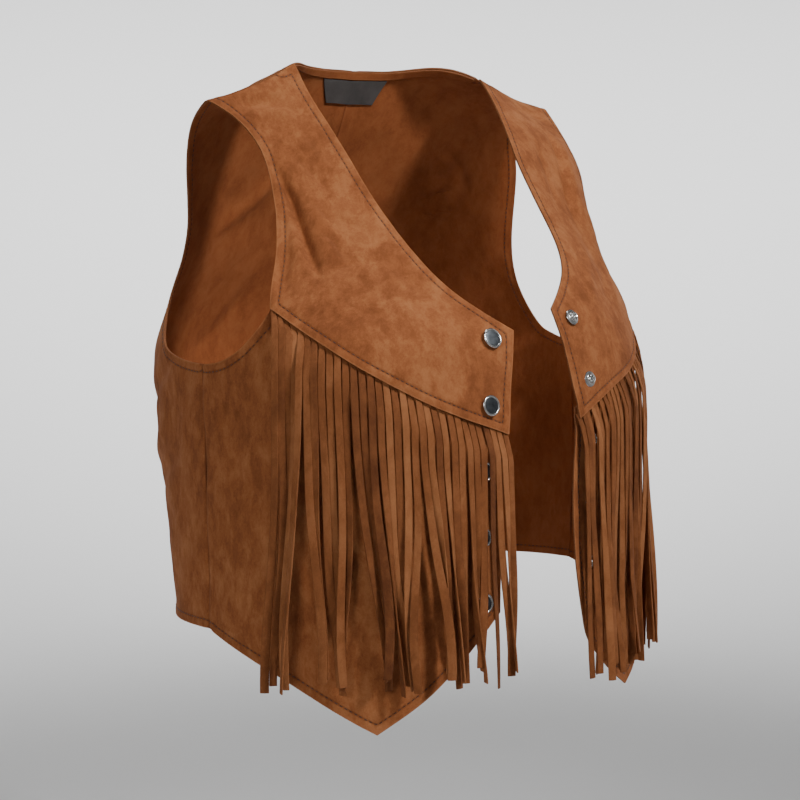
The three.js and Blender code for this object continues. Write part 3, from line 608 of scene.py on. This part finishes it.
# Near an edge: the band where creases and waves are less, what is left of the creases, the puckers
# and the groove of a row of stitches, and the rounded fold outside the row
EDGE_BAND = 9 * MM
CREASE_AT_EDGE = 0.35
PUCKER_WIDE = 5 * MM
ROW_DEEP, ROW_WIDE = 0.28 * MM, 1.3 * MM
FOLD_FROM_EDGE = 2.52 * MM
FOLD_HIGH, FOLD_WIDE = 0.22 * MM, 2.2 * MM


def ripples(points, wave, seed=0):
    """The heights of an uneven wave at the points of a cloth"""
    start = seed + wave["start"]
    shift = Vector([start * part for part in SEED_WAY])
    return np.array([noise.noise(Vector(point) * wave["scale"] + shift) for point in points]) * wave["high"]


PANELS = ["yoke_right", "yoke_left", "front_right", "front_left", "back_right", "back_left"]
panels = {node: Panel(node) for node in PANELS}

# Rim points are on a seam where another panel's rim is nearer than SEAM_NEAR, and under the yoke
# where it is nearer than COVER_NEAR. Two rims less than SEAM_SHUT apart are sewn together: each
# point is drawn over SEAM_SHARE of a gap below SEAM_GAP_MOST. A groove runs along the seam
SEAM_NEAR = 2.2 * MM
COVER_NEAR = 4.6 * MM
SEAM_SHUT = 1.6 * MM
SEAM_GAP_MOST = 0.7 * MM
SEAM_SHARE = 0.56
SEAM_DEEP, SEAM_WIDE = 0.9 * MM, 1.3 * MM


def free_rim(node):
    """The points of a panel's rim that meet no other panel and lie under none"""
    panel = panels[node]
    others = [panels[other] for other in PANELS if other != node]
    rims = [tree_of(other.points[other.rim]) for other in others]
    cover = None
    if node.startswith("front"):
        cover = tree_of(panels[node.replace("front", "yoke")].points)
    free = set()
    for corner in panel.rim:
        point = panel.points[corner]
        meets = any(tree.find(point)[2] < SEAM_NEAR for tree in rims)
        hidden = cover is not None and cover.find(point)[2] < COVER_NEAR
        if not meets and not hidden:
            free.add(corner)
    return free


free_rims = {node: free_rim(node) for node in PANELS}
seam_rims = {node: set(panels[node].rim) - free_rims[node] for node in PANELS}
edge_gaps = {node: panels[node].gaps(free_rims[node]) for node in PANELS}
seam_gaps = {node: panels[node].gaps(seam_rims[node]) for node in PANELS}
rim_trees = {node: tree_of(panels[node].points[panels[node].rim]) for node in PANELS}


def seam_pull(node):
    """How far each point of a seam's edge is drawn to the panel it is sewn to, so that the seam is shut"""
    panel = panels[node]
    others = [(panels[other], rim_trees[other]) for other in PANELS if other != node]
    pulls = np.zeros_like(panel.points)
    for corner in seam_rims[node]:
        point = panel.points[corner]
        found = [(other, *tree.find(point)[1:]) for other, tree in others]
        other, near, far = min(found, key=lambda row: row[2])
        if far > SEAM_SHUT:
            continue
        mark = other.rim[near]
        at = other.points[mark]
        best = at - point
        for beside in other.links[mark]:
            way = way_to(point, at, other.points[beside])
            if np.linalg.norm(way) < np.linalg.norm(best):
                best = way
        if np.linalg.norm(best) < SEAM_GAP_MOST:
            pulls[corner] = best * SEAM_SHARE
    return pulls


seam_pulls = {node: seam_pull(node) for node in PANELS}


def level_line(panel, gaps, level, side):
    """The line on one side of a panel where its points are this far from the edge, as runs of places"""
    crossings, joined = {}, {}
    for face in panel.mesh.polygons:
        if face.material_index != side:
            continue
        crossed = []
        for key in face.edge_keys:
            a, b = gaps[key[0]] - level, gaps[key[1]] - level
            if (a < 0) != (b < 0):
                share = a / (a - b)
                crossings[key] = (straight(panel.points[key[0]], panel.points[key[1]], share),
                                  straight(panel.ways[key[0]], panel.ways[key[1]], share))
                crossed.append(key)
        if len(crossed) == 2:
            joined.setdefault(crossed[0], []).append(crossed[1])
            joined.setdefault(crossed[1], []).append(crossed[0])
    runs, done = [], set()
    starts = sorted(joined, key=lambda key: (len(joined[key]), key))
    for start in starts:
        if start in done:
            continue
        run, at = [], start
        while at is not None and at not in done:
            done.add(at)
            run.append(crossings[at])
            at = next((other for other in joined[at] if other not in done), None)
        if len(run) >= ROW_LEAST:
            runs.append(run)
    return runs


def stitch_shape():
    form = bmesh.new()
    bmesh.ops.create_uvsphere(form, u_segments=6, v_segments=4, radius=1.0)
    bmesh.ops.rotate(form, verts=form.verts, cent=(0, 0, 0), matrix=Matrix.Rotation(math.pi / 2, 3, "Y"))
    bmesh.ops.scale(form, verts=form.verts, vec=(STITCH_LONG / 2, STITCH_WIDE / 2, STITCH_WIDE / 2))
    return mesh_of(form, "stitch")


def lengths_along(places):
    """How far along its line each place is"""
    steps = np.linalg.norm(np.diff(places, axis=0), axis=1)
    return np.concatenate([[0], np.cumsum(steps)])


def value_along(at, reach, values):
    """The place or the way at a length along a line, worked out from those before and after it"""
    return Vector([np.interp(at, reach, values[:, axis]) for axis in range(3)])


def sew(form, stitch, run, outward):
    """Lays stitches along a run of places on the cloth"""
    places = np.array([place for place, way in run])
    ways = np.array([way for place, way in run])
    reach = lengths_along(places)
    count = int(reach[-1] / STITCH_PITCH)
    for k in range(count):
        middle = (k + 0.5) * reach[-1] / count
        start, end = [value_along(middle + half * STITCH_LONG / 2, reach, places) for half in (-1, 1)]
        along = end - start
        if along.length < STITCH_LEAST:
            continue
        up = value_along(middle, reach, ways) * outward
        across = up.cross(along).normalized()
        up = along.cross(across).normalized()
        centre = (start + end) / 2 + up * STITCH_LIFT
        turn = Matrix((along.normalized(), across, up)).transposed().to_4x4()
        spot = Matrix.Translation(centre) @ turn
        stitch.transform(spot)
        form.from_mesh(stitch)
        stitch.transform(spot.inverted())


STITCH = stitch_shape()


def dress(node):
    """Creases, waves, puckers and edges of one panel, and its topstitching"""
    panel = panels[node]
    gaps, seams = edge_gaps[node], seam_gaps[node]
    inside = np.clip(gaps / EDGE_BAND, 0, 1)
    seed = PANELS.index(node) * SEED_STEP
    heights = sum(crease_heights(panel, crease) for crease in CREASES[node])
    heights *= straight(CREASE_AT_EDGE, 1, inside)
    for wave in CLOTH_WAVES:
        heights += ripples(panel.points, wave, seed) * straight(wave["at_edge"], 1, inside)
    heights += ripples(panel.points, PUCKERS, seed) * bell(gaps, ROW_FROM_EDGE, PUCKER_WIDE)
    heights -= ROW_DEEP * bell(gaps, ROW_FROM_EDGE, ROW_WIDE)
    heights += FOLD_HIGH * bell(gaps, FOLD_FROM_EDGE, FOLD_WIDE)
    heights -= SEAM_DEEP * bell(seams, 0, SEAM_WIDE)
    panel.points += seam_pulls[node]
    panel.push(heights)
    panel.store()
    panel.keep("edge_gap", gaps)
    panel.keep("seam_gap", seams)
    made = piece(node + "_cloth", panel.mesh, [OUTSIDE, INSIDE, RAW], [node])
    form = bmesh.new()
    for side, outward in ((OUTER, 1), (INNER, -1)):
        for run in level_line(panel, gaps, ROW_FROM_EDGE, side):
            sew(form, STITCH, run, outward)
    piece(node + "_stitches", mesh_of(form, node + "_stitches"), [THREAD])
    return made


dressed = {node: dress(node) for node in PANELS}


def trim(node, name, materials):
    """The neck's facing or the ribbon, finer and a little uneven"""
    panel = Panel(node)
    panel.push(ripples(panel.points, TRIM_WAVES))
    panel.store()
    panel.keep("edge_gap", panel.gaps(set(panel.rim)))
    panel.keep("seam_gap", np.full(len(panel.points), FAR))
    return piece(name, panel.mesh, materials, [node])


trim("neck_facing", "neck_facing_band", [INSIDE, INSIDE, RAW])
ribbon = trim("neck_label", "neck_ribbon", [SATIN, SATIN, SATIN])


# Fringe

# How the strands hang, taken in turn: turn is a twist towards the end in degrees, and in millimetres
# cup is how far the middle bulges, swing a wave on the way down and forward how far the end stands
# out. Wide is how many times the width of its solid a strand has at its end
STRAND_WAYS = [
    {"turn": 14, "cup": 0.5, "swing": 1.4, "forward": 0.4, "wide": 1.2},
    {"turn": -38, "cup": 0.2, "swing": -2.6, "forward": 3.8, "wide": 1.1},
    {"turn": 62, "cup": 0.3, "swing": 2.8, "forward": 1.6, "wide": 1.16},
    {"turn": -10, "cup": 0.7, "swing": 1.0, "forward": 5.6, "wide": 1.24},
    {"turn": 96, "cup": 0.2, "swing": -1.8, "forward": 0.8, "wide": 1.0},
    {"turn": -26, "cup": 0.4, "swing": 3.0, "forward": 4.6, "wide": 1.22},
    {"turn": 20, "cup": 0.6, "swing": -2.8, "forward": 2.6, "wide": 1.18},
    {"turn": -78, "cup": 0.3, "swing": 2.0, "forward": 6.2, "wide": 1.06},
    {"turn": 36, "cup": 0.4, "swing": 2.2, "forward": 1.2, "wide": 1.2},
]

# How far each strand leans to the wearer's left at its end, in millimetres, from the wearer's right on
STRAND_LEANS = {
    "fringe_right": [-13, -13, -16, -17, -19, 13, 8, 6, 1, -2, -7, 15, 13, 9, 7, 3,
                     1, -4, -8, 13, 8, 6, 2, -1, -5, 0, -6, -10, -15, 0, -4, -6],
    "fringe_left": [2, 4, 0, 3, -1, -3, 1, -4, -7, -2, -7, -9, -6, -12, -10, -14,
                    -9, -15, -13, -12, -18, -16, -15, -21, -19, -18, -25, -22, -24, -28, -26, -30],
}
STRAND_STEPS = 34
STRAND_THICK = 1.0 * MM

# The edges of a strand that bend more than this are rounded this much
STRAND_HARD_ANGLE = math.radians(50)
STRAND_SOFT = 0.3 * MM

# Above a strand's root: the upper end of the strand and of the strip that holds it, and the foot of
# that strip
STRAND_UNDER = 4.0 * MM
STRIP_FOOT = 1.4 * MM
STRIP_THICK = 0.8 * MM

# Each strand's solid has this many rings of corners, and an end that faces down at least this much
STRAND_RINGS = 7
END_DOWN = 0.8

# Steps lie closer towards the root. A strand is held in its first part, and what comes late in it
# grows as a power of what is loose. Twists come partly late
STEPS_CLOSER = 1.15
STRAND_HELD = 0.06
LATE_POWER = 1.5
TWIST_LATE = 0.4

# Waves down a strand: radians in its length, radians from strand to strand, and how high. Swing has
# its height in STRAND_WAYS and 0 to 3 radians more by strand, and it also twists, in degrees
SWING = {"turn": 5, "shift": 1.7, "twist": 12}
BOW = {"turn": 7, "shift": 1, "high": 0.8}
WIDTH = {"turn": 9, "shift": 2.1, "high": 0.05}

# The tones of the strands are read from noise along this line, in these steps
TONE_STEP = 3.7
TONE_LINE = (0.5, 0.2)


def strand_rings(node):
    """The rings of four corners down each strand of a fringe, from its root to its end"""
    form = joined_form(node)
    strands = []
    for cap in form.faces:
        if cap.normal.z > -END_DOWN or len(cap.verts) != 4:
            continue
        rings, seen = [list(cap.verts)], set(cap.verts)
        for _ in range(STRAND_RINGS - 1):
            above = {edge.other_vert(corner) for corner in rings[-1] for edge in corner.link_edges} - seen
            if len(above) != 4:
                break
            seen |= above
            rings.append(list(above))
        if len(rings) == STRAND_RINGS:
            strands.append([np.array([corner.co[:] for corner in ring]) for ring in reversed(rings)])
    form.free()
    return sorted(strands, key=lambda rings: rings[0][:, 0].mean())


def across_ring(ring, last):
    """Half the width of a ring, as a vector from its middle, pointing the way the last one did"""
    middle = ring.mean(axis=0)
    wide = np.linalg.svd(ring - middle)[2][0]
    if np.dot(wide, last) < 0:
        wide = -wide
    reach = np.abs((ring - middle) @ wide).max()
    return wide * reach


def strand_wave(wave, share, number, more=0):
    """How far a wave swings at this share of a strand, moved on from strand to strand"""
    return math.sin(share * (wave["turn"] + more) + number * wave["shift"])


def face_of(wide):
    """The way that a strand faces where this is its width: level and outward"""
    return Vector((0, 0, 1)).cross(wide).normalized() * -1


def strand_path(rings, node, number):
    """Where the middle, the width and the face of a strand are, step by step"""
    sign = -1 if node.endswith("right") else 1
    middles = np.array([ring.mean(axis=0) for ring in rings])
    widths, last = [], np.array([1.0, 0.0, 0.0])
    for ring in rings:
        widths.append(across_ring(ring, last))
        last = widths[-1] / np.linalg.norm(widths[-1])
    widths = np.array(widths)
    up = middles[0] - middles[1]
    middles = np.vstack([middles[0] + up / np.linalg.norm(up) * STRAND_UNDER, middles])
    widths = np.vstack([widths[0], widths])
    reach = lengths_along(middles)
    way = STRAND_WAYS[(number + number // 7) % len(STRAND_WAYS)]
    lean = Vector((STRAND_LEANS[node][number] * MM, 0, 0))
    steps = []
    for k in range(STRAND_STEPS + 1):
        share = (k / STRAND_STEPS) ** STEPS_CLOSER
        at = share * reach[-1]
        middle = value_along(at, reach, middles)
        wide = value_along(at, reach, widths)
        sideways, face = wide.normalized(), face_of(wide)
        loose = eased((share - STRAND_HELD) / (1 - STRAND_HELD))
        late = loose ** LATE_POWER
        swing = strand_wave(SWING, share, number, number % 4) * loose
        bow = BOW["high"] * strand_wave(BOW, share, number) * loose
        middle = middle + sideways * way["swing"] * swing * MM
        middle = middle + sideways * lean.dot(sideways) * late
        middle = middle + face * (way["forward"] * late + bow) * MM
        turn = math.radians(way["turn"] * straight(loose, late, TWIST_LATE) + SWING["twist"] * swing)
        wide = Matrix.Rotation(turn * sign, 3, "Z") @ wide
        wider = straight(1, way["wide"], loose) + WIDTH["high"] * strand_wave(WIDTH, share, number) * loose
        steps.append((middle, wide * wider, face_of(wide), way["cup"] * MM * loose))
    return steps


def thickened(form, thick):
    """A flat form made solid, its faces turned outward"""
    bmesh.ops.recalc_face_normals(form, faces=form.faces)
    bmesh.ops.solidify(form, geom=form.faces, thickness=thick)
    bmesh.ops.recalc_face_normals(form, faces=form.faces)
    return form


def strand(rings, node, number):
    """One strand, a thin strip that hangs its own way"""
    form = bmesh.new()
    bmesh.ops.create_grid(form, x_segments=2, y_segments=STRAND_STEPS, size=1.0)
    steps = strand_path(rings, node, number)
    for corner in form.verts:
        middle, wide, face, cup = steps[round((corner.co.y + 1) / 2 * STRAND_STEPS)]
        corner.co = middle + wide * corner.co.x + face * cup * (1 - corner.co.x ** 2)
    return thickened(form, STRAND_THICK)


def holding_strip(roots):
    """The narrow strip under the yoke from which the strands hang"""
    form = bmesh.new()
    bmesh.ops.create_grid(form, x_segments=len(roots) - 1, y_segments=1, size=1.0)
    for corner in form.verts:
        root = roots[round((corner.co.x + 1) / 2 * (len(roots) - 1))]
        corner.co = Vector(root) + Vector((0, 0, STRAND_UNDER if corner.co.y > 0 else STRIP_FOOT))
    return thickened(form, STRIP_THICK)


def fringe(node):
    """The strands of one side and the strip that holds them, with a tone for each strand"""
    rows = strand_rings(node)
    forms = [strand(rings, node, number) for number, rings in enumerate(rows)]
    forms.append(holding_strip([rings[0].mean(axis=0) for rings in rows]))
    whole = bmesh.new()
    numbers = []
    for form, number in zip(forms, [*range(len(rows)), 0]):
        mesh = mesh_of(form, "strand")
        whole.from_mesh(mesh)
        numbers += [number] * len(mesh.vertices)
        bpy.data.meshes.remove(mesh)
    mesh = mesh_of(whole, node + "_strands")
    tones = mesh.attributes.new("strand_tone", "FLOAT", "POINT")
    tones.data.foreach_set("value", [noise.noise(Vector((number * TONE_STEP, *TONE_LINE)))
                                     for number in numbers])
    made = piece(node + "_strands", mesh, [STRANDS], [node])
    soften = made.modifiers.new("soft_edges", "BEVEL")
    soften.width = STRAND_SOFT
    soften.segments = 2
    soften.limit_method = "ANGLE"
    soften.angle_limit = STRAND_HARD_ANGLE
    return made


fringes = {node: fringe(node) for node in ("fringe_right", "fringe_left")}


# Snaps

# Half sections of the snap parts, radius and height above the cloth in millimetres
SNAP_SECTIONS = {
    "snap_cap": [(0, 1.64), (3.0, 1.62), (5.0, 1.56), (5.3, 1.5), (5.5, 1.7), (5.9, 1.9), (6.35, 1.84),
                 (6.75, 1.45), (6.9, 0.95), (6.7, 0.45), (6.3, 0.05), (0, 0.05)],
    "snap_socket": [(2.3, 0.1), (2.3, 1.5), (2.6, 1.7), (3.5, 1.68), (4.1, 1.35), (4.6, 1.0), (5.2, 0.85),
                    (5.38, 0.5), (5.2, 0.08)],
    "snap_stud": [(0, 1.5), (1.5, 1.55), (1.85, 1.9), (2.0, 3.0), (2.4, 3.2), (2.85, 3.05), (3.05, 2.6),
                  (2.85, 2.0), (3.0, 1.35), (3.5, 1.0), (4.7, 0.9), (5.3, 0.75), (5.5, 0.45),
                  (5.2, 0.05), (0, 0.05)],
    "stud_back": [(2.1, 0.1), (2.1, 0.85), (2.4, 1.0), (3.6, 0.98), (4.9, 0.85), (5.15, 0.5), (5.0, 0.08)],
}
SNAP_ROUND = 44
SNAP_PAIRS = 5
SNAP_SAME_PLACE = 1e-7

# The dark face of a cap: all that is this high and this near to its axis
CAP_FACE_HIGH, CAP_FACE_REACH = 1.4 * MM, 5.2 * MM


def snap(kind, number):
    """A turned snap part, seated where its solid is"""
    node = f"{kind}_{number}"
    is_cap = kind == "snap_cap"
    points = np.array([corner.co[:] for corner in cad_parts[node].data.vertices])
    points = np.unique(points.round(7), axis=0)
    centre = points.mean(axis=0)
    axis = np.linalg.svd(points - centre)[2][2]
    out = -1 if kind in ("snap_cap", "snap_stud") else 1
    if axis[1] * out < 0:
        axis = -axis
    base = Vector(centre + axis * ((points - centre) @ axis).min())
    section = [Vector((radius * MM, 0, high * MM)) for radius, high in SNAP_SECTIONS[kind]]
    form = bmesh.new()
    line = [form.verts.new(at) for at in section]
    edges = [form.edges.new(pair) for pair in zip(line, line[1:])]
    if section[0].x > 0:
        edges.append(form.edges.new((line[-1], line[0])))
    bmesh.ops.spin(form, geom=line + edges, cent=(0, 0, 0), axis=(0, 0, 1), angle=2 * math.pi,
                   steps=SNAP_ROUND, use_merge=True)
    bmesh.ops.remove_doubles(form, verts=form.verts, dist=SNAP_SAME_PLACE)
    bmesh.ops.dissolve_degenerate(form, edges=form.edges, dist=SNAP_SAME_PLACE)
    bmesh.ops.recalc_face_normals(form, faces=form.faces)
    for face in form.faces:
        middle = face.calc_center_median()
        dished = middle.z > CAP_FACE_HIGH and math.hypot(middle.x, middle.y) < CAP_FACE_REACH
        face.material_index = 1 if is_cap and dished else 0
    turn = Vector((0, 0, 1)).rotation_difference(Vector(axis)).to_matrix().to_4x4()
    bmesh.ops.transform(form, verts=form.verts, matrix=Matrix.Translation(base) @ turn)
    piece(node + "_metal", mesh_of(form, node + "_metal"), [NICKEL, GUNMETAL], [node])


for kind in SNAP_SECTIONS:
    for number in range(1, SNAP_PAIRS + 1):
        snap(kind, number)


# Studio

# The floor is flat up to FLOOR_FLAT from the middle and rises with the square of the way beyond it
FLOOR_LEVEL, FLOOR_FLAT, FLOOR_HALF, FLOOR_RISE = -0.8, 1.6, 5.0, 0.32
FLOOR_CELLS = 64
PALE = (0.8, 0.8, 0.8, 1)
WORLD_LIGHT = 0.16
LAMPS = [
    {"name": "key", "at": (0.3, -1.88, 1.5), "wide": 0.45, "power": 5.4, "spread": 60, "aim": BODY_MIDDLE},
    {"name": "side", "at": (-2.2, -0.9, 0.6), "wide": 0.9, "power": 1.9, "spread": 60, "aim": BODY_MIDDLE},
    {"name": "top", "at": (0.2, 0.6, 1.9), "wide": 0.7, "power": 1.2, "spread": 60, "aim": BODY_MIDDLE},
    {"name": "wall_left", "at": (0.6, 1.0, 1.6), "wide": 1.0, "power": 52, "spread": 120,
     "aim": (1.6, 4.2, -0.5)},
    {"name": "wall_right", "at": (1.2, 0.2, 1.6), "wide": 1.0, "power": 52, "spread": 120,
     "aim": (4.2, 1.8, -0.5)},
]

# The camera, worked out from the photo's perspective; its sensor and lens are in millimetres
CAMERA_AT = (-0.803, -0.892, -0.114)
CAMERA_TURN = math.radians(-42)
CAMERA_DOWN = math.radians(3.0)
SENSOR_WIDE = 36
LENS_LONG = 73.97
LENS_SHIFT = (0.01125, -0.106)


def backdrop():
    """A pale floor that rises into a wall all round"""
    floor = bmesh.new()
    bmesh.ops.create_grid(floor, x_segments=FLOOR_CELLS, y_segments=FLOOR_CELLS, size=FLOOR_HALF)
    for corner in floor.verts:
        beyond = max(0.0, math.hypot(corner.co.x, corner.co.y) - FLOOR_FLAT)
        corner.co.z = FLOOR_LEVEL + FLOOR_RISE * beyond ** 2
    mesh = mesh_of(floor, "studio_floor")
    for face in mesh.polygons:
        face.use_smooth = True
    ground = placed("studio_floor", mesh)
    mesh.materials.append(Finish("pale_paper").finish({"Roughness": 0.9, "Base Color": PALE}, {}))


def lights():
    """Soft lamps and a faint light from all round"""
    world = bpy.data.worlds.new("studio")
    world.use_nodes = True
    sky = world.node_tree.nodes["Background"].inputs
    sky["Color"].default_value = PALE
    sky["Strength"].default_value = WORLD_LIGHT
    bpy.context.scene.world = world
    for row in LAMPS:
        light = bpy.data.lights.new(row["name"], "AREA")
        light.shape = "DISK"
        light.size = row["wide"]
        light.energy = row["power"]
        light.spread = math.radians(row["spread"])
        lamp = placed(row["name"], light)
        lamp.location = row["at"]
        aim = Vector(row["aim"]) - Vector(row["at"])
        lamp.rotation_euler = aim.to_track_quat("-Z", "Y").to_euler()


def camera():
    lens = bpy.data.cameras.new("camera")
    lens.sensor_width = SENSOR_WIDE
    lens.lens = LENS_LONG
    lens.shift_x, lens.shift_y = LENS_SHIFT
    made = placed("camera", lens)
    made.location = CAMERA_AT
    made.rotation_euler = (math.pi / 2 - CAMERA_DOWN, 0, CAMERA_TURN)
    bpy.context.scene.camera = made


backdrop()
lights()
camera()
